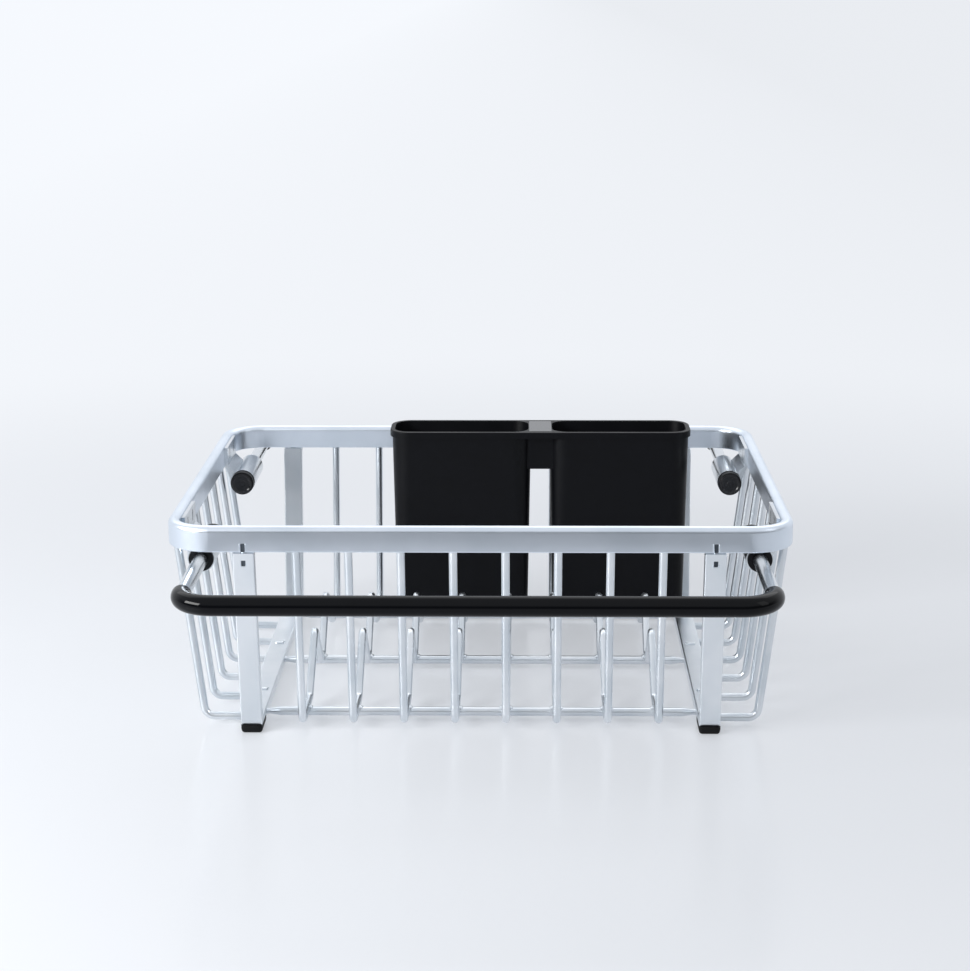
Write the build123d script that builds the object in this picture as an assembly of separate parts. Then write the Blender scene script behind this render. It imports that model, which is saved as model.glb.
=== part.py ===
"""Over-sink aluminium dish rack: rim, leg frames, bent wires, two sliding handles, utensil holder."""
import os

from build123d import *

# Rim: a flat bar bent into a rounded rectangle
RIM_WIDTH = 410.0
RIM_DEPTH = 310.0
RIM_TOP = 147.0
RIM_HEIGHT = 17.0
RIM_THICKNESS = 8.0
RIM_CORNER = 30.0
RIM_CROWN = 3.9
RIM_EDGE = 0.8

# Leg frames: a flat bar bent into a U that stands across the depth
LEG_INSET = 48.3
LEG_WIDTH = 14.0
LEG_THICKNESS = 7.0
LEG_GAP = 0.8
LEG_BEND = 9.0
LEG_EDGE = 1.0
PIN_DIAMETER = 4.0
PIN_SEAT = 6.0
CRIMP_WIDTH = 3.0
CRIMP_HEIGHT = 6.0
CRIMP_DEPTH = 0.6
DENT_LENGTH = 6.0
DENT_YS = (-76.0, 26.0)

# Feet: rubber caps under the bends of the leg frames
FOOT_SOLE = 2.0
FOOT_HEIGHT = 5.5
FOOT_LENGTH = 24.0
FOOT_WALL = 1.5
FOOT_ROUND = 1.6

# Basket wires: eight bent wires across the depth, each with two plate humps
WIRE_COUNT = 8
WIRE_PITCH = 34.0
WIRE_DIAMETER = 5.4
WIRE_SEAT = 5.0
WIRE_BEND = 7.0
WALL_LEAN = 16.0
HUMP_HEIGHT = 35.0
HUMP_PEAK_Y = 43.0
HUMP_FOOT_Y = 88.0
HUMP_MIDDLE_Y = 6.0

# Side wires: bent wires between the side of the rim and the leg frame
SIDE_COUNT = 7
SIDE_PITCH = 40.0
SIDE_LEAN = 15.0

# Cross rods: from leg frame to leg frame, notched where the basket wires lie in them
ROD_COUNT = 3
ROD_PITCH = 109.0
ROD_DIAMETER = 6.0
ROD_TENON = 4.0
ROD_TAPER = 7.0
ROD_NECK = 2.0
ROD_DROP = 0.4
ROD_NOTCH = 3.4

# Slide brackets: a plate on the inside of the rim with a tube below it
BRACKET_LENGTH = 44.0
BRACKET_END_GAP = 1.0
PLATE_THICKNESS = 2.5
PLATE_DROP = 2.0
TUBE_OUTER = 18.0
TUBE_BORE = 15.0
TUBE_BELOW_RIM = 11.0
TUBE_INSET = 13.5
TUBE_OVERHANG = 7.0
STAKE_WIDTH = 2.0
STAKE_HEIGHT = 8.0
STAKE_INSET = 12.0

# Guide bushes in both ends of the bracket tubes
BUSH_DIAMETER = 16.4
BUSH_FLANGE = 2.0
BUSH_SLEEVE = 10.0

# Handles: a bent tube with a soft grip, free to slide in the brackets
ARM_DIAMETER = 9.5
ARM_BORE = 7.0
HANDLE_REACH = 80.0
HANDLE_BEND = 22.0
GRIP_DIAMETER = 13.0
GRIP_RUN = 2.0
STOP_DIAMETER = 17.4
STOP_LENGTH = 4.0
STOP_SPIGOT = 8.0

# Utensil holder: two tapered cups in one moulding, hung on the rear of the rim
CUP_WIDTH = 106.5
CUP_GAP = 14.0
CUP_DEPTH = 43.5
CUP_WALL = 2.0
CUP_CORNER = 14.0
CUP_RISE = 5.5
CUP_SIDE_TAPER = 2.5
CUP_FRONT_TAPER = 4.0
CUP_BACK_TAPER = 18.0
CUP_LIP = 1.5
CUP_LIP_HEIGHT = 5.0
HOLDER_X = 41.4
WEB_HEIGHT = 30.0
WEB_SETBACK = 6.0
WEB_THICKNESS = 3.0
HOOK_WIDTH = 44.0
HOOK_THICKNESS = 2.2
HOOK_DROP = 12.0
DRAIN_DIAMETER = 6.0
DRAIN_PITCH = 16.0
DRAIN_COUNT = 5

# Clearances
SLIDE_FIT = 0.2
SEAT_FIT = 0.05
REST_GAP = 0.3

# Derived places
rim_bottom = RIM_TOP - RIM_HEIGHT
rim_line_x = RIM_WIDTH / 2 - RIM_THICKNESS / 2
rim_line_y = RIM_DEPTH / 2 - RIM_THICKNESS / 2
rim_inner_x = RIM_WIDTH / 2 - RIM_THICKNESS
rim_inner_y = RIM_DEPTH / 2 - RIM_THICKNESS
leg_x = rim_line_x - LEG_INSET
leg_floor = FOOT_SOLE + LEG_THICKNESS / 2
leg_top = rim_bottom - LEG_GAP
rod_z = leg_floor - ROD_DROP
wire_floor = rod_z + ROD_DIAMETER / 2 - ROD_NOTCH + WIRE_DIAMETER / 2 + SEAT_FIT
wall_foot_y = rim_line_y - WALL_LEAN
arm_x = rim_inner_x - TUBE_INSET
arm_z = rim_bottom - TUBE_BELOW_RIM
bracket_outer = RIM_DEPTH / 2 - RIM_CORNER - BRACKET_END_GAP
bracket_inner = bracket_outer - BRACKET_LENGTH
tube_front = bracket_outer + TUBE_OVERHANG
grip_y = RIM_DEPTH / 2 + HANDLE_REACH
SIDES = {"left": -1, "right": 1}
ENDS = {"front": -1, "rear": 1}


def bent_rod(points, bend, diameter):
    """A round rod along a line with rounded corners."""
    path = FilletPolyline(*points, radius=bend)
    return sweep(Plane(path @ 0, z_dir=path % 0) * Circle(diameter / 2), path=path)


def drill(point, direction, depth, diameter):
    """A hole along a direction, from the point inwards."""
    hole = Cylinder(diameter / 2, depth, align=(Align.CENTER, Align.CENTER, Align.MIN))
    return Plane(point, z_dir=direction) * hole


def mirror_sides(shape, side, end=-1):
    """A shape made at the left front, brought to another corner."""
    if side > 0:
        shape = mirror(shape, about=Plane.YZ)
    if end > 0:
        shape = mirror(shape, about=Plane.XZ)
    return shape


def wall_direction(lean, height):
    """The direction of a leaning wall wire, upwards and outwards."""
    return Vector(lean, 0, height).normalized()


front_lean = wall_direction(WALL_LEAN, rim_bottom - wire_floor)
side_lean = wall_direction(SIDE_LEAN, rim_bottom - leg_floor)
wire_xs = [(i - (WIRE_COUNT - 1) / 2) * WIRE_PITCH for i in range(WIRE_COUNT)]
side_ys = [(i - (SIDE_COUNT - 1) / 2) * SIDE_PITCH for i in range(SIDE_COUNT)]
rod_ys = [(i - (ROD_COUNT - 1) / 2) * ROD_PITCH for i in range(ROD_COUNT)]


def make_rim():
    """The rim with a rounded crown and blind holes for every wire end and pin."""
    ring = RectangleRounded(RIM_WIDTH, RIM_DEPTH, RIM_CORNER)
    ring -= RectangleRounded(
        RIM_WIDTH - 2 * RIM_THICKNESS, RIM_DEPTH - 2 * RIM_THICKNESS, RIM_CORNER - RIM_THICKNESS
    )
    rim = Pos(0, 0, rim_bottom) * extrude(ring, RIM_HEIGHT)
    rim = fillet(rim.edges().group_by(Axis.Z)[-1], RIM_CROWN)
    rim = fillet(rim.edges().group_by(Axis.Z)[0], RIM_EDGE)
    bore = WIRE_DIAMETER + 2 * SEAT_FIT
    deep = WIRE_SEAT + 1.0
    holes = []
    for end in ENDS.values():
        lean = Vector(0, end * front_lean.X, front_lean.Z)
        for x in wire_xs:
            start = Vector(x, end * rim_line_y, rim_bottom) - lean * 1.0
            holes.append(drill(start, lean, deep + 1.0, bore))
        for side in SIDES.values():
            start = Vector(side * leg_x, end * rim_line_y, rim_bottom - 1.0)
            holes.append(drill(start, Vector(0, 0, 1), PIN_SEAT + 1.0, PIN_DIAMETER + 2 * SEAT_FIT))
    for side in SIDES.values():
        lean = Vector(side * side_lean.X, 0, side_lean.Z)
        for y in side_ys:
            start = Vector(side * rim_line_x, y, rim_bottom) - lean * 1.0
            holes.append(drill(start, lean, deep + 1.0, bore))
    return rim - holes - crimps(RIM_DEPTH / 2, rim_bottom + CRIMP_HEIGHT / 2)


def crimps(y, z):
    """Four upright press marks above and below the leg joints, on the faces at y."""
    mark = Box(CRIMP_WIDTH, 2 * CRIMP_DEPTH, CRIMP_HEIGHT)
    return [Pos(s * leg_x, e * y, z) * mark for s in SIDES.values() for e in ENDS.values()]


def leg_outline(inset, top):
    """The trapezoid inside or outside the bent bar, in the plane across the depth."""
    slope = WALL_LEAN / (leg_top - leg_floor)
    floor = leg_floor + inset
    foot = wall_foot_y - inset
    head = foot + slope * (top - floor)
    return Polyline((-head, top), (-foot, floor), (foot, floor), (head, top), close=True)


def make_leg(side):
    """One U-shaped leg frame with its pin, rod and wire holes."""
    half = LEG_THICKNESS / 2
    outer = make_face(leg_outline(-half, leg_top))
    outer = fillet(outer.vertices().sort_by(Axis.Y)[:2], LEG_BEND)
    inner = make_face(leg_outline(half, leg_top + 10.0))
    inner = fillet(inner.vertices().sort_by(Axis.Y)[:2], LEG_BEND - LEG_THICKNESS)
    bar = extrude(Plane.YZ * (outer - inner), LEG_WIDTH / 2, both=True)
    long_edges = bar.faces().sort_by(Axis.X)[0].edges() + bar.faces().sort_by(Axis.X)[-1].edges()
    bar = fillet(long_edges, LEG_EDGE)
    bar = Pos(side * leg_x, 0, 0) * bar
    holes = []
    for end in ENDS.values():
        start = Vector(side * leg_x, end * rim_line_y, leg_top + 1.0)
        holes.append(drill(start, Vector(0, 0, -1), PIN_SEAT + 1.0, PIN_DIAMETER + 2 * SEAT_FIT))
    for y in rod_ys:
        start = Vector(side * (leg_x - LEG_WIDTH / 2 - 1.0), y, rod_z)
        holes.append(drill(start, Vector(side, 0, 0), WIRE_SEAT + 1.5, ROD_TENON + 2 * SEAT_FIT))
    for y in side_ys:
        start = Vector(side * (leg_x + LEG_WIDTH / 2 + 1.0), y, leg_floor)
        holes.append(drill(start, Vector(-side, 0, 0), WIRE_SEAT + 1.5, WIRE_DIAMETER + 2 * SEAT_FIT))
    for y in DENT_YS:
        dent = Box(2 * CRIMP_DEPTH, DENT_LENGTH, 2 * CRIMP_DEPTH)
        holes.append(Pos(side * (leg_x - LEG_WIDTH / 4), y, leg_floor + LEG_THICKNESS / 2) * dent)
    slope = WALL_LEAN / (leg_top - leg_floor)
    mark_z = leg_top - CRIMP_HEIGHT
    face_y = wall_foot_y + slope * (mark_z - leg_floor) + LEG_THICKNESS / 2
    return bar - holes - crimps(face_y, mark_z)


def make_pins():
    """Four pins that hold the leg frames to the rim."""
    length = 2 * PIN_SEAT + LEG_GAP - 0.4
    middle = rim_bottom - LEG_GAP / 2
    pin = Cylinder(PIN_DIAMETER / 2, length)
    return Compound(
        [Pos(s * leg_x, e * rim_line_y, middle) * pin for s in SIDES.values() for e in ENDS.values()]
    )


def make_basket_wire(x):
    """A wire from rim to rim: leaning walls, floor runs and two humps for plates."""
    tip = Vector(0, front_lean.X, front_lean.Z) * WIRE_SEAT
    peak = wire_floor + HUMP_HEIGHT
    half = [
        (rim_line_y + tip.Y, rim_bottom + tip.Z),
        (wall_foot_y, wire_floor),
        (HUMP_FOOT_Y, wire_floor),
        (HUMP_PEAK_Y, peak),
        (HUMP_MIDDLE_Y, wire_floor),
    ]
    front = [(x, -y, z) for y, z in half]
    rear = [(x, y, z) for y, z in reversed(half)]
    return bent_rod(front + rear, WIRE_BEND, WIRE_DIAMETER)


def make_side_wire(side, y):
    """A wire from the side of the rim, down and in to the leg frame."""
    tip = side_lean * WIRE_SEAT
    points = [
        (side * (rim_line_x + tip.X), y, rim_bottom + tip.Z),
        (side * (rim_line_x - SIDE_LEAN), y, leg_floor),
        (side * (leg_x + LEG_WIDTH / 2 - WIRE_SEAT), y, leg_floor),
    ]
    return bent_rod(points, WIRE_BEND, WIRE_DIAMETER)


def make_rod(y):
    """A cross rod, drawn down at both ends to a tenon."""
    inside = leg_x - LEG_WIDTH / 2
    half = make_face(
        Polyline(
            (0, 0),
            (inside + WIRE_SEAT, 0),
            (inside + WIRE_SEAT, ROD_TENON / 2),
            (inside - ROD_NECK, ROD_TENON / 2),
            (inside - ROD_NECK - ROD_TAPER, ROD_DIAMETER / 2),
            (0, ROD_DIAMETER / 2),
            close=True,
        )
    )
    rod = revolve(half, Axis.X)
    rod = Pos(0, y, rod_z) * (rod + mirror(rod, about=Plane.YZ))
    seat = Rot(90, 0, 0) * Cylinder(WIRE_DIAMETER / 2 + SEAT_FIT, 2 * ROD_DIAMETER)
    return rod - [Pos(x, y, wire_floor) * seat for x in wire_xs]


def make_bracket(side, end):
    """A plate staked to the inside of the rim, with the slide tube hanging from it."""
    plate_top = RIM_TOP - PLATE_DROP
    outer = -(rim_inner_x - SEAT_FIT)
    inner = outer + PLATE_THICKNESS
    tube_x = -arm_x
    tube_r = TUBE_OUTER / 2
    web = make_face(
        Polyline(
            (outer, plate_top),
            (inner, plate_top),
            (inner, rim_bottom + 1.0),
            (tube_x - tube_r * 0.6, arm_z + tube_r * 0.75),
            (tube_x - tube_r * 0.95, arm_z),
            (outer + 1.0, rim_bottom - 1.5),
            (outer, rim_bottom),
            close=True,
        )
    )
    centre = Pos(tube_x, arm_z)
    plate = extrude(Plane.XZ * (web - centre * Circle(TUBE_BORE / 2)), BRACKET_LENGTH)
    tube = centre * (Circle(tube_r) - Circle(TUBE_BORE / 2))
    tube = extrude(Plane.XZ * tube, BRACKET_LENGTH + TUBE_OVERHANG)
    body = Pos(0, -bracket_inner, 0) * (plate + tube)
    middle = rim_bottom + RIM_HEIGHT / 2
    for y in (-bracket_inner - STAKE_INSET, -bracket_outer + STAKE_INSET):
        slot = Rot(0, 90, 0) * SlotOverall(STAKE_HEIGHT, STAKE_WIDTH)
        body -= Pos(outer, y, middle) * extrude(slot, PLATE_THICKNESS * 2, both=True)
    return mirror_sides(body, side, end)


def make_bush(side, end, y, outward):
    """A flanged guide bush in one end of a bracket tube."""
    bore = ARM_DIAMETER + 2 * SLIDE_FIT
    ring = Cylinder(BUSH_DIAMETER / 2, BUSH_FLANGE, align=(Align.CENTER, Align.CENTER, Align.MIN))
    ring = fillet(ring.edges().group_by(Axis.Z)[-1], BUSH_FLANGE * 0.4)
    sleeve = Cylinder(
        TUBE_BORE / 2 - SEAT_FIT, BUSH_SLEEVE, align=(Align.CENTER, Align.CENTER, Align.MAX)
    )
    bush = ring + sleeve - Cylinder(bore / 2, 4 * BUSH_SLEEVE)
    place = Plane((-arm_x, y, arm_z), z_dir=(0, outward, 0))
    return mirror_sides(place * bush, side, end)


def handle_path(start):
    """The handle's centre line: an arm, the bar and the other arm."""
    return [(-arm_x, start, arm_z), (-arm_x, -grip_y, arm_z), (arm_x, -grip_y, arm_z), (arm_x, start, arm_z)]


def make_handle_tube(end):
    """The bent handle tube, open at both ends."""
    start = -(bracket_inner - BUSH_FLANGE)
    path = handle_path(start)
    tube = bent_rod(path, HANDLE_BEND, ARM_DIAMETER) - bent_rod(path, HANDLE_BEND, ARM_BORE)
    return mirror_sides(tube, -1, end)


def make_grip(end):
    """The soft sleeve over the bar and both bends of the handle."""
    start = -(grip_y - HANDLE_BEND - GRIP_RUN)
    path = handle_path(start)
    sleeve = bent_rod(path, HANDLE_BEND, GRIP_DIAMETER)
    sleeve = fillet(sleeve.edges().group_by(Axis.Y)[-1], 1.2)
    sleeve -= bent_rod(path, HANDLE_BEND, ARM_DIAMETER + 2 * SEAT_FIT)
    return mirror_sides(sleeve, -1, end)


def make_stop(side, end):
    """The end plug of a handle arm, whose head stops the slide."""
    head = Cylinder(STOP_DIAMETER / 2, STOP_LENGTH, align=(Align.CENTER, Align.CENTER, Align.MIN))
    head = fillet(head.edges().group_by(Axis.Z)[-1], 1.0)
    spigot = Cylinder(
        ARM_BORE / 2 - SEAT_FIT, STOP_SPIGOT, align=(Align.CENTER, Align.CENTER, Align.MAX)
    )
    place = Plane((-arm_x, -(bracket_inner - BUSH_FLANGE - REST_GAP), arm_z), z_dir=(0, 1, 0))
    return mirror_sides(place * (head + spigot), side, end)


def make_foot(side, end, leg):
    """A rubber cap under one bend of a leg frame."""
    outside = wall_foot_y + LEG_THICKNESS / 2 + FOOT_WALL
    block = Box(
        LEG_WIDTH + 2 * FOOT_WALL,
        FOOT_LENGTH,
        FOOT_HEIGHT,
        align=(Align.CENTER, Align.MIN, Align.MIN),
    )
    block = fillet(block.edges().filter_by(Axis.Z), FOOT_WALL + 1.0)
    block = fillet(block.edges().group_by(Axis.Z)[0], FOOT_ROUND)
    block = Pos(-leg_x, -outside, 0) * block
    clear = WIRE_DIAMETER / 2 + REST_GAP
    notch = Pos(-leg_x - LEG_WIDTH / 2, side_ys[0], leg_floor - clear) * Box(
        LEG_WIDTH, 2 * clear, FOOT_HEIGHT, align=(Align.CENTER, Align.CENTER, Align.MIN)
    )
    room = ROD_DIAMETER / 2 + REST_GAP
    for y in rod_ys:
        block -= Pos(-leg_x + LEG_WIDTH / 2, y, rod_z - room) * Box(
            LEG_WIDTH, 2 * room, FOOT_HEIGHT, align=(Align.CENTER, Align.CENTER, Align.MIN)
        )
    return mirror_sides(block - notch, side, end) - leg


def make_cup(inset, top, bottom, back):
    """A tapered solid between a wide top and a narrow bottom."""
    depth_low = CUP_DEPTH - CUP_FRONT_TAPER - CUP_BACK_TAPER
    middle_top = back - CUP_DEPTH / 2
    middle_low = back - CUP_BACK_TAPER - depth_low / 2
    lower = Pos(0, middle_low, bottom) * RectangleRounded(
        CUP_WIDTH - 2 * CUP_SIDE_TAPER - 2 * inset, depth_low - 2 * inset, CUP_CORNER * 0.6 - inset
    )
    upper = Pos(0, middle_top, top) * RectangleRounded(
        CUP_WIDTH - 2 * inset, CUP_DEPTH - 2 * inset, CUP_CORNER - inset
    )
    return loft([lower, upper])


def make_hook(back):
    """A flat hook from the back of the lip over the rim and down behind it."""
    under = RIM_TOP + REST_GAP
    behind = RIM_DEPTH / 2 + REST_GAP
    outline = Polyline(
        (back, under),
        (behind, under),
        (behind, RIM_TOP - HOOK_DROP),
        (behind + HOOK_THICKNESS, RIM_TOP - HOOK_DROP),
        (behind + HOOK_THICKNESS, under + HOOK_THICKNESS),
        (back, under + HOOK_THICKNESS),
        close=True,
    )
    return extrude(Plane.YZ * make_face(outline), HOOK_WIDTH / 2, both=True)


def make_holder():
    """Two cups in one lip, with a web between them, hooks and drain holes."""
    top = RIM_TOP + CUP_RISE
    bottom = wire_floor + WIRE_DIAMETER / 2 + REST_GAP
    back = rim_inner_y - REST_GAP - CUP_LIP
    offset = (CUP_WIDTH + CUP_GAP) / 2
    shell = make_cup(0.0, top, bottom, back)
    hollow = make_cup(CUP_WALL, top + 0.01, bottom + CUP_WALL, back)
    drain_y = back - (CUP_DEPTH - CUP_FRONT_TAPER + CUP_BACK_TAPER) / 2
    drains = [
        Pos((i - (DRAIN_COUNT - 1) / 2) * DRAIN_PITCH, drain_y, bottom)
        * Cylinder(DRAIN_DIAMETER / 2, 4 * CUP_WALL)
        for i in range(DRAIN_COUNT)
    ]
    lip = RectangleRounded(
        2 * offset + CUP_WIDTH + 2 * CUP_LIP, CUP_DEPTH + 2 * CUP_LIP, CUP_CORNER + CUP_LIP
    )
    lip = Pos(0, back - CUP_DEPTH / 2, top - CUP_LIP_HEIGHT) * extrude(lip, CUP_LIP_HEIGHT)
    lip = fillet(lip.edges().group_by(Axis.Z)[-1], CUP_LIP * 0.5)
    web = Pos(0, back - CUP_DEPTH + WEB_SETBACK, top - CUP_RISE) * Box(
        CUP_GAP + 2 * CUP_WALL + 2 * CUP_SIDE_TAPER,
        WEB_THICKNESS,
        WEB_HEIGHT - CUP_RISE,
        align=(Align.CENTER, Align.MIN, Align.MAX),
    )
    hook = make_hook(back)
    holder = lip + web
    for side in SIDES.values():
        holder += Pos(side * offset, 0, 0) * (shell + hook)
    for side in SIDES.values():
        holder -= [Pos(side * offset, 0, 0) * void for void in [hollow] + drains]
    return Pos(HOLDER_X, 0, 0) * holder


def save(name, shape):
    """Write one piece of the rack."""
    shape.label = name
    export_step(shape, os.path.join("parts", name + ".step"))


def main():
    """Build every piece in place and write it."""
    os.makedirs("parts", exist_ok=True)
    save("top_rim", make_rim())
    save("leg_joint_pins", make_pins())
    for number, x in enumerate(wire_xs, 1):
        save(f"basket_wire_{number}", make_basket_wire(x))
    for place, y in zip(("front", "middle", "rear"), rod_ys):
        save(f"{place}_cross_rod", make_rod(y))
    for side_name, side in SIDES.items():
        leg = make_leg(side)
        save(f"{side_name}_leg_frame", leg)
        for number, y in enumerate(side_ys, 1):
            save(f"{side_name}_side_wire_{number}", make_side_wire(side, y))
        for end_name, end in ENDS.items():
            corner = f"{end_name}_{side_name}"
            save(f"{corner}_slide_bracket", make_bracket(side, end))
            save(f"{corner}_outer_bush", make_bush(side, end, -tube_front, -1))
            save(f"{corner}_inner_bush", make_bush(side, end, -bracket_inner, 1))
            save(f"{corner}_slide_stop", make_stop(side, end))
            save(f"{corner}_foot", make_foot(side, end, leg))
    for end_name, end in ENDS.items():
        save(f"{end_name}_handle_tube", make_handle_tube(end))
        save(f"{end_name}_handle_grip", make_grip(end))
    save("utensil_holder", make_holder())


if __name__ == "__main__":
    main()
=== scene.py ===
"""Finishes, light and camera for the over-sink aluminium dish rack."""
import math

import bmesh
import bpy
from mathutils import Matrix, Vector


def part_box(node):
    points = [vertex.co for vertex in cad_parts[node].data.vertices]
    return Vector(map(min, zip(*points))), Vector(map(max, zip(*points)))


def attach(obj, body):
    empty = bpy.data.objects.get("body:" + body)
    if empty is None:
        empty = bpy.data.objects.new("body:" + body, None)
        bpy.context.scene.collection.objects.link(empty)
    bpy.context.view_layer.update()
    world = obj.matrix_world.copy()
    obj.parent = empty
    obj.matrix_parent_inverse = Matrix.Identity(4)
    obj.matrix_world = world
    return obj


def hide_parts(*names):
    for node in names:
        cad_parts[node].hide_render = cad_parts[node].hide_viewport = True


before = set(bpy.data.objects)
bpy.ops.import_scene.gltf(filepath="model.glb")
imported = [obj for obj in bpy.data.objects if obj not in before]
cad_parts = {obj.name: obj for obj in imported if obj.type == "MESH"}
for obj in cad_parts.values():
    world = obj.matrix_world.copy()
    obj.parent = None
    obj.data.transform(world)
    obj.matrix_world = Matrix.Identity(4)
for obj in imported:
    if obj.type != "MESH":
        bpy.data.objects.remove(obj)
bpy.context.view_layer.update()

bl_info = {
    "name": "Dish Rack Finish",
    "version": (1, 0, 0),
    "blender": (4, 5, 0),
    "location": "View3D > Sidebar > Dish Rack",
    "description": "Dresses the aluminium dish rack and sets its studio",
    "category": "Object",
}

MM = 0.001
UP = (0.0, 0.0, 1.0)
SIDES = ("left", "right")
ENDS = {"front": -1, "rear": 1}

# The photograph in pixels, the film in mm and the farthest view in metres.
PHOTO_WIDTH = 970.0
FILM_WIDTH = 36.0
FARTHEST_VIEW = 100.0

# How a small form is meshed: steps in a corner, signs of the corners, lengths in mm, degrees.
PAD_STEPS = 6
PAD_CORNERS = ((1, 1), (-1, 1), (-1, -1), (1, -1))
SMALLEST_BEND = 0.02
MERGE_DISTANCE = 0.005
SHARP_ANGLE = 24.0

# Small forms in mm: width and length, corner radius, and levels of inset and height.
PRESS_LIP = ((0.9, 6.0), 0.4, [(0.0, -0.2), (0.05, 0.15), (0.3, 0.32)])
PRESS_DENT = ((2.7, 5.6), 0.6, [(0.0, -0.1), (0.0, 0.12), (0.5, 0.02), (1.1, -0.02)])
LEG_STUD = ((6.8, 2.6), 1.25, [(0.0, -0.2), (0.0, 0.5), (0.25, 0.95), (0.7, 1.15)])
WELD_BEAD = ((4.4, 4.8), 2.1, [(0.0, 0.0), (0.2, 1.0), (0.7, 1.7), (1.4, 2.1)])
PLUG_FACE = (
    (15.6, 15.6),
    7.8,
    [(0.0, -0.2), (0.1, 0.35), (0.5, 0.75), (1.2, 0.8), (1.9, 0.3), (4.6, 0.12), (5.4, 0.12), (5.8, 0.5)],
)
CUP_BRIDGE = ((17.0, 37.0), 1.5, [(0.0, -0.3), (0.0, 0.05), (0.15, 0.15)])
FOOT_CORNER = 2.6
FOOT_HULL = [(2.6, 0.0), (1.3, 0.25), (0.55, 0.9), (0.15, 2.0), (0.0, 3.2), (0.0, 5.2), (0.3, 5.5)]

# Where the small forms sit, in mm.
RIM_MARK_RISE = 3.0
LEG_MARK_DROP = 6.0
LEG_SETBACK = 1.27
DENT_SINK = 0.55
LIP_SHIFT = 1.9
STUD_YS = (-76.0, 26.0)
BAR_THICKNESS = 7.0
BEAD_SINK = 1.2
FOOT_WIDER = 0.5
FOOT_SHORTER = 0.8
HOLDER_LIP_DEPTH = 46.5

# Textures: drifts of tone in mm, strengths of relief, and the spans that a noise keeps to.
METAL_DRIFT = 35.0
METAL_RELIEF = 0.08
PLASTIC_DRIFT = 18.0
PLASTIC_RELIEF = 0.3
PLASTIC_IOR = 1.5
TONE_SPAN = {"From Min": 0.35, "From Max": 0.65}
POLISH_SPAN = {"From Min": 0.3, "From Max": 0.7}

# The floor in metres: its fade to white with distance, its painted fall of light from left to right,
# and the front edge and light of the room that reflections see.
FLOOR_SIZE = 240.0
FLOOR_MIDDLE = (0.0, 80.0, 0.0)
FLOOR_ROUGHNESS = 0.22
FLOOR_GLOSS = 0.4
FLOOR_FADE = {"From Min": 0.4, "From Max": 1.3, "To Min": 0.4, "To Max": 0.97}
PAINTED_LIGHT_FALL = {"From Min": -1.2, "From Max": 1.2, "To Min": 1.06, "To Max": 0.94}
TABLE_EDGE = {"From Min": -1.3, "From Max": -0.66, "To Min": 1.0, "To Max": 0.0}
ROOM_LIGHT = 0.2

# The surround: darker in front, bright behind and overhead, and weaker as diffuse light.
FRONT_TO_BACK = {"From Min": -0.25, "From Max": 0.5, "To Min": 0.2, "To Max": 1.0}
LOW_TO_HIGH = {"From Min": 0.1, "From Max": 0.45, "To Min": 0.0, "To Max": 0.9}
DIFFUSE_TO_SEEN = {"To Min": 0.45, "To Max": 1.0}

# Lamps: place, aim and size in metres, power in watts.
LAMPS = {
    "back softbox": ((-0.1, 0.9, 1.3), (0.0, 0.0, 0.1), (2.6, 1.2), 7.5),
    "left softbox": ((-1.1, -0.75, 0.58), (0.0, 0.0, 0.08), (0.85, 0.36), 16.5),
    "right fill": ((1.2, -0.7, 0.8), (0.0, 0.0, 0.1), (0.5, 0.9), 1.0),
}


def linear(code):
    """A colour written as sRGB hex, in linear light with full alpha."""
    parts = [int(code[i:i + 2], 16) / 255 for i in (1, 3, 5)]
    parts = [c / 12.92 if c <= 0.04045 else ((c + 0.055) / 1.055) ** 2.4 for c in parts]
    return (*parts, 1.0)


def add_node(tree, kind, inputs=None, **settings):
    """A shader node with its settings; an input is a value or another node's output."""
    node = tree.nodes.new(kind)
    for key, value in settings.items():
        setattr(node, key, value)
    for key, value in (inputs or {}).items():
        if isinstance(value, bpy.types.NodeSocket):
            tree.links.new(value, node.inputs[key])
        else:
            node.inputs[key].default_value = value
    return node


def new_material(name):
    """An empty material, its node tree and its principled shader."""
    material = bpy.data.materials.new(name)
    material.use_nodes = True
    tree = material.node_tree
    shader = next(n for n in tree.nodes if n.type == "BSDF_PRINCIPLED")
    return material, tree, shader


def give_skin(tree, shader, tone, colours, wear, roughness, height, depth_mm, relief):
    """Let noises drive a shader: tone its colour, wear its roughness and height its relief."""
    dark, light = colours
    smooth, rough = roughness
    colour = add_node(
        tree, "ShaderNodeMix", {"Factor": tone, 6: dark, 7: light}, data_type="RGBA"
    )
    polish = add_node(
        tree,
        "ShaderNodeMapRange",
        {"Value": wear, **POLISH_SPAN, "To Min": smooth, "To Max": rough},
    )
    bump = add_node(
        tree,
        "ShaderNodeBump",
        {"Height": height, "Distance": depth_mm * MM, "Strength": relief},
    )
    tree.links.new(colour.outputs[2], shader.inputs["Base Color"])
    tree.links.new(polish.outputs[0], shader.inputs["Roughness"])
    tree.links.new(bump.outputs[0], shader.inputs["Normal"])


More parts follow.
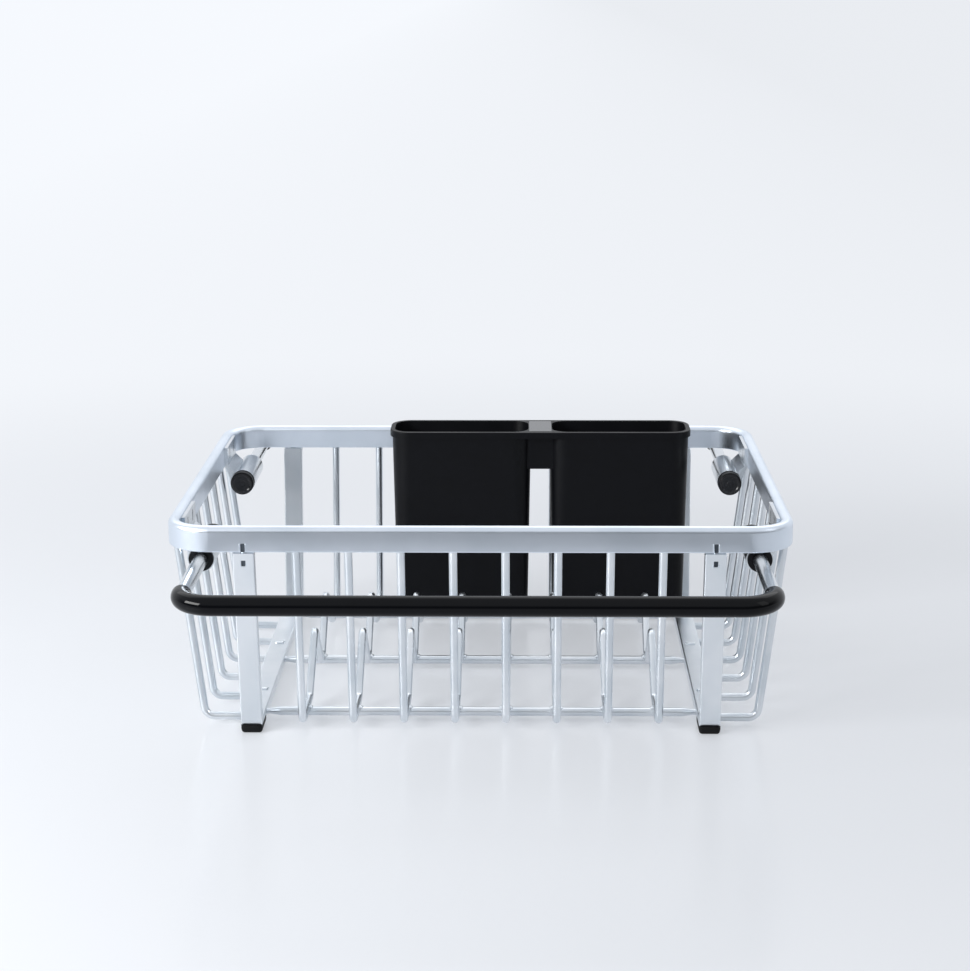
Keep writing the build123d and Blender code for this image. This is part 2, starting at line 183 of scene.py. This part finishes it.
def aluminium(name, dark, light, roughness, line_mm, depth_mm):
    """Metal with fine lines from its making and a slow drift of tone."""
    material, tree, shader = new_material(name)
    place = add_node(tree, "ShaderNodeTexCoord").outputs["Object"]
    # The tone drifts slowly, as anodised metal does from bath to bath.
    cloud = add_node(
        tree,
        "ShaderNodeTexNoise",
        {"Vector": place, "Scale": 1.0 / (METAL_DRIFT * MM), "Detail": 2.0},
    )
    stretch = add_node(
        tree,
        "ShaderNodeMapping",
        {"Vector": place, "Scale": [1.0 / (mm * MM) for mm in line_mm]},
    )
    lines = add_node(
        tree,
        "ShaderNodeTexNoise",
        {"Vector": stretch.outputs[0], "Scale": 1.0, "Detail": 1.0},
    ).outputs[0]
    tone = add_node(tree, "ShaderNodeMapRange", {"Value": cloud.outputs[0], **TONE_SPAN})
    shader.inputs["Metallic"].default_value = 1.0
    give_skin(
        tree, shader, tone.outputs[0], (dark, light), lines, roughness, lines, depth_mm, METAL_RELIEF
    )
    return material


def black_moulding(name, dark, light, roughness, grit_mm, depth_mm, gloss):
    """A black plastic or rubber with a fine skin; gloss is its specular level."""
    material, tree, shader = new_material(name)
    place = add_node(tree, "ShaderNodeTexCoord").outputs["Object"]
    # The tone and polish drift together, as they do on handled plastic.
    cloud = add_node(
        tree,
        "ShaderNodeTexNoise",
        {"Vector": place, "Scale": 1.0 / (PLASTIC_DRIFT * MM), "Detail": 2.0},
    ).outputs[0]
    grit = add_node(
        tree,
        "ShaderNodeTexNoise",
        {"Vector": place, "Scale": 1.0 / (grit_mm * MM), "Detail": 2.0},
    ).outputs[0]
    shader.inputs["IOR"].default_value = PLASTIC_IOR
    shader.inputs["Specular IOR Level"].default_value = gloss
    give_skin(
        tree, shader, cloud, (dark, light), cloud, roughness, grit, depth_mm, PLASTIC_RELIEF
    )
    return material


def dress(material, slot, *words):
    """Give a material to every node whose name holds one of the words."""
    for name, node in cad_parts.items():
        if any(word in name for word in words):
            node.data.materials.clear()
            node.data.materials.append(material)


def lofted_pad(bm, place, size, corner, levels):
    """A small closed form from rounded rectangles; a level is its inset and its height, in mm."""
    rings = []
    for inset, height in levels:
        half = [side / 2 - inset for side in size]
        bend = max(corner - inset, SMALLEST_BEND)
        ring = []
        for quarter, (right, back) in enumerate(PAD_CORNERS):
            for step in range(PAD_STEPS + 1):
                angle = math.radians(90.0 * quarter + 90.0 * step / PAD_STEPS)
                along = right * (half[0] - bend) + bend * math.cos(angle)
                across = back * (half[1] - bend) + bend * math.sin(angle)
                ring.append(bm.verts.new(place @ (Vector((along, across, height)) * MM)))
        rings.append(ring)
    for low, high in zip(rings, rings[1:]):
        for i in range(len(low)):
            j = (i + 1) % len(low)
            bm.faces.new((low[i], low[j], high[j], high[i]))
    bm.faces.new(rings[-1])
    bm.faces.new(list(reversed(rings[0])))


def facing(point, normal):
    """A place at a point whose own height runs along the normal, which is level or upright."""
    normal = Vector(normal)
    side = Vector(UP).cross(normal)
    side = side.normalized() if side.length > 0.1 else Vector((1.0, 0.0, 0.0))
    turn = Matrix((side, normal.cross(side), normal)).transposed().to_4x4()
    return Matrix.Translation(point) @ turn


def add_piece(name, bm, material, body):
    """Make a piece from its mesh and let it ride on a body."""
    bmesh.ops.remove_doubles(bm, verts=bm.verts, dist=MERGE_DISTANCE * MM)
    bmesh.ops.recalc_face_normals(bm, faces=bm.faces)
    mesh = bpy.data.meshes.new(name)
    bm.to_mesh(mesh)
    bm.free()
    mesh.shade_smooth()
    mesh.set_sharp_from_angle(angle=math.radians(SHARP_ANGLE))
    mesh.materials.append(material)
    piece = bpy.data.objects.new(name, mesh)
    bpy.context.collection.objects.link(piece)
    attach(piece, body)
    return piece


def length_setting(name, description, metres):
    """A length for the panel."""
    return bpy.props.FloatProperty(
        name=name, description=description, default=metres, unit="LENGTH"
    )


def angle_setting(name, description, degrees):
    """An angle for the panel."""
    return bpy.props.FloatProperty(
        name=name, description=description, default=math.radians(degrees), subtype="ANGLE"
    )


def colour_setting(name, description, code):
    """A colour for the panel, written as sRGB hex."""
    return bpy.props.FloatVectorProperty(
        name=name, description=description, size=4, subtype="COLOR", default=linear(code)
    )


class RackStudio(bpy.types.PropertyGroup):
    """The photograph's viewpoint and the studio."""
    camera_x: length_setting("Camera X", "Sideways place", 0.0284)
    camera_y: length_setting("Camera Y", "Place in front", -1.4509)
    camera_z: length_setting("Camera Z", "Height", 0.4980)
    pitch: angle_setting("Pitch", "Downward tilt", 14.0)
    yaw: angle_setting("Yaw", "Turn", 1.08)
    roll: angle_setting("Roll", "Roll", 0.19)
    focal_px: bpy.props.FloatProperty(
        name="Focal length", description="In pixels of the photograph", default=2090.0
    )
    floor: colour_setting("Floor", "Floor colour", "#EEF1F6")
    sky: colour_setting("Sky", "Surround colour", "#F1F4F9")


class RackFinish(bpy.types.PropertyGroup):
    """Colours of the finishes."""
    rim: colour_setting("Rim", "Anodised rim bar", "#E6EEF8")
    leg: colour_setting("Legs", "Anodised leg bar", "#EAEEF2")
    wire: colour_setting("Wire", "Drawn wire", "#E6EAEE")
    tube: colour_setting("Slides", "Brackets and tubes", "#DFE3E7")
    grip: colour_setting("Grip", "Handle grip", "#07080C")
    holder: colour_setting("Holder", "Utensil holder", "#0A0B10")


def press_marks(metal):
    """The press tool's marks above and below each leg joint: a dent painted dark as shade, between two
    lips.
    """
    # The floor of each dent is painted darker than the anodised face, as painted shade in the recess.
    dent = aluminium(
        "aluminium with painted dent shade",
        linear("#4A5057"),
        linear("#646B73"),
        roughness=(0.4, 0.5),
        line_mm=(2, 2, 0.6),
        depth_mm=0.01,
    )
    low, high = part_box("top_rim")
    for side in SIDES:
        leg_low, leg_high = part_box(f"{side}_leg_frame")
        x = (leg_low.x + leg_high.x) / 2
        for end, way in ENDS.items():
            out = (0.0, way, 0.0)
            rim_mark = Vector((x, way * high.y, low.z + RIM_MARK_RISE * MM))
            leg_mark = Vector((x, way * (high.y - LEG_SETBACK * MM), leg_high.z - LEG_MARK_DROP * MM))
            lips = bmesh.new()
            floors = bmesh.new()
            for mark in (rim_mark, leg_mark):
                sunk = facing(mark - Vector((0.0, way * DENT_SINK * MM, 0.0)), out)
                lofted_pad(floors, sunk, *PRESS_DENT)
                for shift in (-LIP_SHIFT, LIP_SHIFT):
                    beside = facing(mark + Vector((shift * MM, 0.0, 0.0)), out)
                    lofted_pad(lips, beside, *PRESS_LIP)
            add_piece(f"{end}_{side}_press_lips", lips, metal, "frame")
            add_piece(f"{end}_{side}_press_dents", floors, dent, "frame")


def leg_studs(metal):
    """Flat studs on the floor bar of each leg frame, where the bar is closed over its wires."""
    for side in SIDES:
        low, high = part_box(f"{side}_leg_frame")
        studs = bmesh.new()
        for y in STUD_YS:
            top = Vector(((low.x + high.x) / 2, y * MM, low.z + BAR_THICKNESS * MM))
            lofted_pad(studs, facing(top, UP), *LEG_STUD)
        add_piece(f"{side}_leg_studs", studs, metal, "frame")


class RACK_OT_bars(bpy.types.Operator):
    """Anodised extruded bar on the rim and the leg frames"""
    bl_idname = "rack.bars"
    bl_label = "Finish bars"

    def execute(self, context):
        """Satin anodised aluminium: soft grey faces, white crown, faint lines along the bar."""
        finish = context.scene.rack_finish
        # The lines of the extrusion are 0.1 mm and are drawn at 0.8 mm so that they show.
        rim = aluminium(
            "anodised aluminium rim bar",
            linear("#DCE5EF"),
            finish.rim,
            roughness=(0.33, 0.36),
            line_mm=(90, 90, 0.8),
            depth_mm=0.002,
        )
        legs = aluminium(
            "anodised aluminium leg bar",
            linear("#DFE5EA"),
            finish.leg,
            roughness=(0.28, 0.3),
            line_mm=(0.8, 90, 90),
            depth_mm=0.002,
        )
        dress(rim, "bar_aluminium", "top_rim")
        dress(legs, "bar_aluminium", "leg_frame")
        press_marks(rim)
        leg_studs(legs)
        return {"FINISHED"}


def rod_welds(metal):
    """A smooth bead of weld on each side of every wire, where it crosses a rod."""
    wires = [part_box(name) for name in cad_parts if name.startswith("basket_wire_")]
    for rod in ("front_cross_rod", "middle_cross_rod", "rear_cross_rod"):
        low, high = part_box(rod)
        beads = bmesh.new()
        for wire_low, wire_high in wires:
            for flank in (wire_low.x, wire_high.x):
                top = Vector((flank, (low.y + high.y) / 2, high.z - BEAD_SINK * MM))
                lofted_pad(beads, facing(top, UP), *WELD_BEAD)
        add_piece(rod.replace("cross_rod", "rod_welds"), beads, metal, "frame")


class RACK_OT_wires(bpy.types.Operator):
    """Drawn aluminium wire and rod"""
    bl_idname = "rack.wires"
    bl_label = "Finish wires"

    def execute(self, context):
        """Drawn and etched wire: nearly white, with soft edges and no mirror."""
        finish = context.scene.rack_finish
        # The etch is 0.2 mm and is drawn at 3 mm, a faint unevenness that shows.
        wire = aluminium(
            "drawn aluminium wire",
            linear("#D4DBE1"),
            finish.wire,
            roughness=(0.28, 0.32),
            line_mm=(3, 3, 3),
            depth_mm=0.004,
        )
        dress(wire, "wire_aluminium", "_wire_", "cross_rod")
        rod_welds(wire)
        return {"FINISHED"}


def stop_faces():
    """The moulded face of each end plug: a rounded rim round a shallow dish with a gate mark."""
    # The mould is polished here, so the rim of the plug catches a fine bright line.
    gloss = black_moulding(
        "polished nylon",
        linear("#0A0B0E"),
        linear("#15161B"),
        roughness=(0.16, 0.24),
        grit_mm=2.5,
        depth_mm=0.03,
        gloss=0.4,
    )
    for end, way in ENDS.items():
        for side in SIDES:
            low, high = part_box(f"{end}_{side}_slide_stop")
            inner_y = low.y if way > 0 else high.y
            middle = Vector(((low.x + high.x) / 2, inner_y, (low.z + high.z) / 2))
            face = bmesh.new()
            lofted_pad(face, facing(middle, (0.0, -way, 0.0)), *PLUG_FACE)
            add_piece(f"{end}_{side}_stop_face", face, gloss, f"{end}_handle")


class RACK_OT_slides(bpy.types.Operator):
    """Slide brackets, handle tubes and their black plastic"""
    bl_idname = "rack.slides"
    bl_label = "Finish slides"

    def execute(self, context):
        """Extruded tube, glossier than the bar, and matt black nylon bushes."""
        finish = context.scene.rack_finish
        # The lines run along the depth; 0.1 mm lines are drawn at 0.8 mm so that they show.
        tube = aluminium(
            "extruded aluminium tube",
            linear("#D0D6DB"),
            finish.tube,
            roughness=(0.2, 0.23),
            line_mm=(0.8, 90, 0.8),
            depth_mm=0.003,
        )
        nylon = black_moulding(
            "moulded nylon",
            linear("#0A0B0E"),
            linear("#101115"),
            roughness=(0.38, 0.5),
            grit_mm=0.5,
            depth_mm=0.02,
            gloss=0.2,
        )
        dress(tube, "tube_aluminium", "slide_bracket", "handle_tube", "pins")
        dress(nylon, "black_nylon", "bush", "slide_stop")
        stop_faces()
        return {"FINISHED"}


class RACK_OT_grips(bpy.types.Operator):
    """Glossy dipped grips"""
    bl_idname = "rack.grips"
    bl_label = "Finish grips"

    def execute(self, context):
        """Dipped soft PVC: deep black with sharp highlights and a slight ripple."""
        finish = context.scene.rack_finish
        grip = black_moulding(
            "dipped gloss PVC",
            linear("#040508"),
            finish.grip,
            roughness=(0.04, 0.07),
            grit_mm=9.0,
            depth_mm=0.02,
            gloss=0.16,
        )
        dress(grip, "grip_pvc", "handle_grip")
        return {"FINISHED"}


def rubber_feet(rubber):
    """A boat-shaped rubber foot under each bend, flush with the bar that it caps."""
    for side in SIDES:
        leg_low, leg_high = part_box(f"{side}_leg_frame")
        width = (leg_high.x - leg_low.x) / MM + FOOT_WIDER
        for end, way in ENDS.items():
            low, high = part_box(f"{end}_{side}_foot")
            length = (high.y - low.y) / MM - FOOT_SHORTER
            middle_y = (low.y + high.y) / 2 - way * FOOT_SHORTER / 2 * MM
            middle = Vector(((low.x + high.x) / 2, middle_y, low.z))
            foot = bmesh.new()
            lofted_pad(foot, facing(middle, UP), (width, length), FOOT_CORNER, FOOT_HULL)
            piece = add_piece(f"{end}_{side}_rubber_foot", foot, rubber, "frame")
            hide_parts(f"{end}_{side}_foot")


def bridge_plate():
    """The smooth bare plate on the bridge between the cups, which mirrors the bright wall behind."""
    # A polished patch of the mould, which shows as a grey gleam between two matt cups.
    smooth = black_moulding(
        "polished polypropylene",
        linear("#101116"),
        linear("#15161B"),
        roughness=(0.1, 0.13),
        grit_mm=0.8,
        depth_mm=0.005,
        gloss=1.0,
    )
    low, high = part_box("utensil_holder")
    middle = Vector(((low.x + high.x) / 2, low.y + HOLDER_LIP_DEPTH / 2 * MM, high.z))
    plate = bmesh.new()
    lofted_pad(plate, facing(middle, UP), *CUP_BRIDGE)
    add_piece("bridge_plate", plate, smooth, "utensil_holder")


class RACK_OT_holder(bpy.types.Operator):
    """Moulded utensil holder and rubber feet"""
    bl_idname = "rack.holder"
    bl_label = "Finish holder and feet"

    def execute(self, context):
        """Moulded polypropylene with a satin spark texture, and dull rubber."""
        finish = context.scene.rack_finish
        # The spark texture is 0.15 mm and is drawn at 0.8 mm so that it shows.
        moulding = black_moulding(
            "moulded polypropylene",
            linear("#07080B"),
            finish.holder,
            roughness=(0.38, 0.45),
            grit_mm=0.8,
            depth_mm=0.01,
            gloss=0.15,
        )
        rubber = black_moulding(
            "moulded rubber",
            linear("#0A0B0D"),
            linear("#101113"),
            roughness=(0.5, 0.62),
            grit_mm=0.8,
            depth_mm=0.04,
            gloss=0.2,
        )
        dress(moulding, "holder_polypropylene", "utensil_holder")
        dress(rubber, "black_rubber", "_foot")
        bridge_plate()
        rubber_feet(rubber)
        return {"FINISHED"}


class RACK_OT_stage(bpy.types.Operator):
    """Floor, light and the photograph's camera"""
    bl_idname = "rack.stage"
    bl_label = "Set the studio"

    def execute(self, context):
        """A bright, even studio: soft light from behind and from the front left."""
        studio = context.scene.rack_studio
        add_floor(studio)
        add_world(studio)
        for name, settings in LAMPS.items():
            add_lamp(name, *settings)
        add_camera(studio)
        context.scene.view_settings.view_transform = "Standard"
        return {"FINISHED"}


def seen_directly(tree):
    """One where a camera, glossy or transmitted ray looks, zero for diffuse light."""
    path = add_node(tree, "ShaderNodeLightPath")
    total = add_node(
        tree,
        "ShaderNodeMath",
        {0: path.outputs["Is Camera Ray"], 1: path.outputs["Is Glossy Ray"]},
        operation="ADD",
    )
    return add_node(
        tree,
        "ShaderNodeMath",
        {0: total.outputs[0], 1: path.outputs["Is Transmission Ray"]},
        operation="ADD",
        use_clamp=True,
    ).outputs[0]


def add_floor(studio):
    """A wide pale floor: it keeps the rack's shadow, and turns into its own even white far away."""
    bpy.ops.mesh.primitive_plane_add(size=FLOOR_SIZE, location=FLOOR_MIDDLE)
    floor = bpy.context.object
    floor.name = "studio_floor"
    material, tree, shader = new_material("pale studio floor")
    shader.inputs["Base Color"].default_value = studio.floor
    shader.inputs["Roughness"].default_value = FLOOR_ROUGHNESS
    shader.inputs["Specular IOR Level"].default_value = FLOOR_GLOSS
    place = add_node(tree, "ShaderNodeNewGeometry").outputs["Position"]
    reach = add_node(tree, "ShaderNodeVectorMath", {0: place}, operation="LENGTH")
    split = add_node(tree, "ShaderNodeSeparateXYZ", {0: place})
    far = add_node(
        tree,
        "ShaderNodeMapRange",
        {"Value": reach.outputs["Value"], **FLOOR_FADE},
        interpolation_type="SMOOTHSTEP",
    )
    # The glow is painted brighter on the left and dimmer on the right: a painted fall of light from the
    # left lamp.
    across = add_node(tree, "ShaderNodeMapRange", {"Value": split.outputs["X"], **PAINTED_LIGHT_FALL})
    glow = add_node(
        tree, "ShaderNodeEmission", {"Color": studio.sky, "Strength": across.outputs[0]}
    )
    share = add_node(
        tree, "ShaderNodeMath", {0: seen_directly(tree), 1: far.outputs[0]}, operation="MULTIPLY"
    )
    both = add_node(
        tree,
        "ShaderNodeMixShader",
        {0: share.outputs[0], 1: shader.outputs[0], 2: glow.outputs[0]},
    )
    # In reflections the table ends in front of the rack, outside the photograph.
    edge = add_node(tree, "ShaderNodeMapRange", {"Value": split.outputs["Y"], **TABLE_EDGE})
    path = add_node(tree, "ShaderNodeLightPath")
    past = add_node(
        tree,
        "ShaderNodeMath",
        {0: edge.outputs[0], 1: path.outputs["Is Glossy Ray"]},
        operation="MULTIPLY",
    )
    room = add_node(tree, "ShaderNodeEmission", {"Color": studio.sky, "Strength": ROOM_LIGHT})
    whole = add_node(
        tree,
        "ShaderNodeMixShader",
        {0: past.outputs[0], 1: both.outputs[0], 2: room.outputs[0]},
    )
    out = next(n for n in tree.nodes if n.type == "OUTPUT_MATERIAL")
    tree.links.new(whole.outputs[0], out.inputs["Surface"])
    floor.data.materials.append(material)


def add_world(studio):
    """A pale surround, darker in front so that metal and gloss have something to mirror."""
    world = bpy.data.worlds.new("studio surround")
    bpy.context.scene.world = world
    world.use_nodes = True
    tree = world.node_tree
    ground = next(n for n in tree.nodes if n.type == "BACKGROUND")
    aim = add_node(tree, "ShaderNodeTexCoord").outputs["Generated"]
    split = add_node(tree, "ShaderNodeSeparateXYZ", {0: aim})
    away = add_node(
        tree,
        "ShaderNodeMapRange",
        {"Value": split.outputs["Y"], **FRONT_TO_BACK},
        interpolation_type="SMOOTHSTEP",
    )
    above = add_node(tree, "ShaderNodeMapRange", {"Value": split.outputs["Z"], **LOW_TO_HIGH})
    shade = add_node(
        tree, "ShaderNodeMath", {0: away.outputs[0], 1: above.outputs[0]}, operation="MAXIMUM"
    )
    level = add_node(tree, "ShaderNodeMapRange", {"Value": seen_directly(tree), **DIFFUSE_TO_SEEN})
    lit = add_node(
        tree, "ShaderNodeMath", {0: shade.outputs[0], 1: level.outputs[0]}, operation="MULTIPLY"
    )
    # The camera itself sees the surround at full strength everywhere.
    path = add_node(tree, "ShaderNodeLightPath")
    strength = add_node(
        tree,
        "ShaderNodeMath",
        {0: lit.outputs[0], 1: path.outputs["Is Camera Ray"]},
        operation="MAXIMUM",
    )
    ground.inputs["Color"].default_value = studio.sky
    tree.links.new(strength.outputs[0], ground.inputs["Strength"])


def add_lamp(name, place, aim, size, power):
    """A soft rectangular lamp that the camera doesn't see."""
    lamp = bpy.data.lights.new(name, "AREA")
    lamp.shape = "RECTANGLE"
    lamp.size, lamp.size_y = size
    lamp.energy = power
    rig = bpy.data.objects.new(name, lamp)
    bpy.context.collection.objects.link(rig)
    rig.location = place
    rig.visible_camera = False
    rig.rotation_euler = (Vector(aim) - Vector(place)).to_track_quat("-Z", "Y").to_euler()


def add_camera(studio):
    """The photograph's viewpoint."""
    lens = bpy.data.cameras.new("photo camera")
    lens.sensor_fit = "HORIZONTAL"
    lens.sensor_width = FILM_WIDTH
    lens.lens = studio.focal_px / PHOTO_WIDTH * lens.sensor_width
    lens.clip_end = FARTHEST_VIEW
    rig = bpy.data.objects.new("photo camera", lens)
    bpy.context.collection.objects.link(rig)
    turn = Matrix.Rotation(studio.yaw, 4, "Z") @ Matrix.Rotation(math.pi / 2 - studio.pitch, 4, "X")
    turn = turn @ Matrix.Rotation(-studio.roll, 4, "Z")
    place = Matrix.Translation((studio.camera_x, studio.camera_y, studio.camera_z))
    rig.matrix_world = place @ turn
    bpy.context.scene.camera = rig


STEPS = (
    RACK_OT_bars,
    RACK_OT_wires,
    RACK_OT_slides,
    RACK_OT_grips,
    RACK_OT_holder,
    RACK_OT_stage,
)


class RACK_PT_panel(bpy.types.Panel):
    """The steps that dress the rack"""
    bl_idname = "RACK_PT_panel"
    bl_label = "Dish Rack"
    bl_space_type = "VIEW_3D"
    bl_region_type = "UI"
    bl_category = "Dish Rack"

    def draw(self, context):
        """One button for each step."""
        for step in STEPS:
            self.layout.operator(step.bl_idname)


CLASSES = (RackStudio, RackFinish, *STEPS, RACK_PT_panel)


def register():
    """Make the steps and settings known."""
    for cls in CLASSES:
        bpy.utils.register_class(cls)
    bpy.types.Scene.rack_studio = bpy.props.PointerProperty(type=RackStudio)
    bpy.types.Scene.rack_finish = bpy.props.PointerProperty(type=RackFinish)


def unregister():
    """Take the steps and settings away."""
    del bpy.types.Scene.rack_finish
    del bpy.types.Scene.rack_studio
    for cls in reversed(CLASSES):
        bpy.utils.unregister_class(cls)


def main():
    """Dress the rack and set the studio."""
    register()
    bpy.ops.rack.bars()
    bpy.ops.rack.wires()
    bpy.ops.rack.slides()
    bpy.ops.rack.grips()
    bpy.ops.rack.holder()
    bpy.ops.rack.stage()


if __name__ == "__main__":
    main()
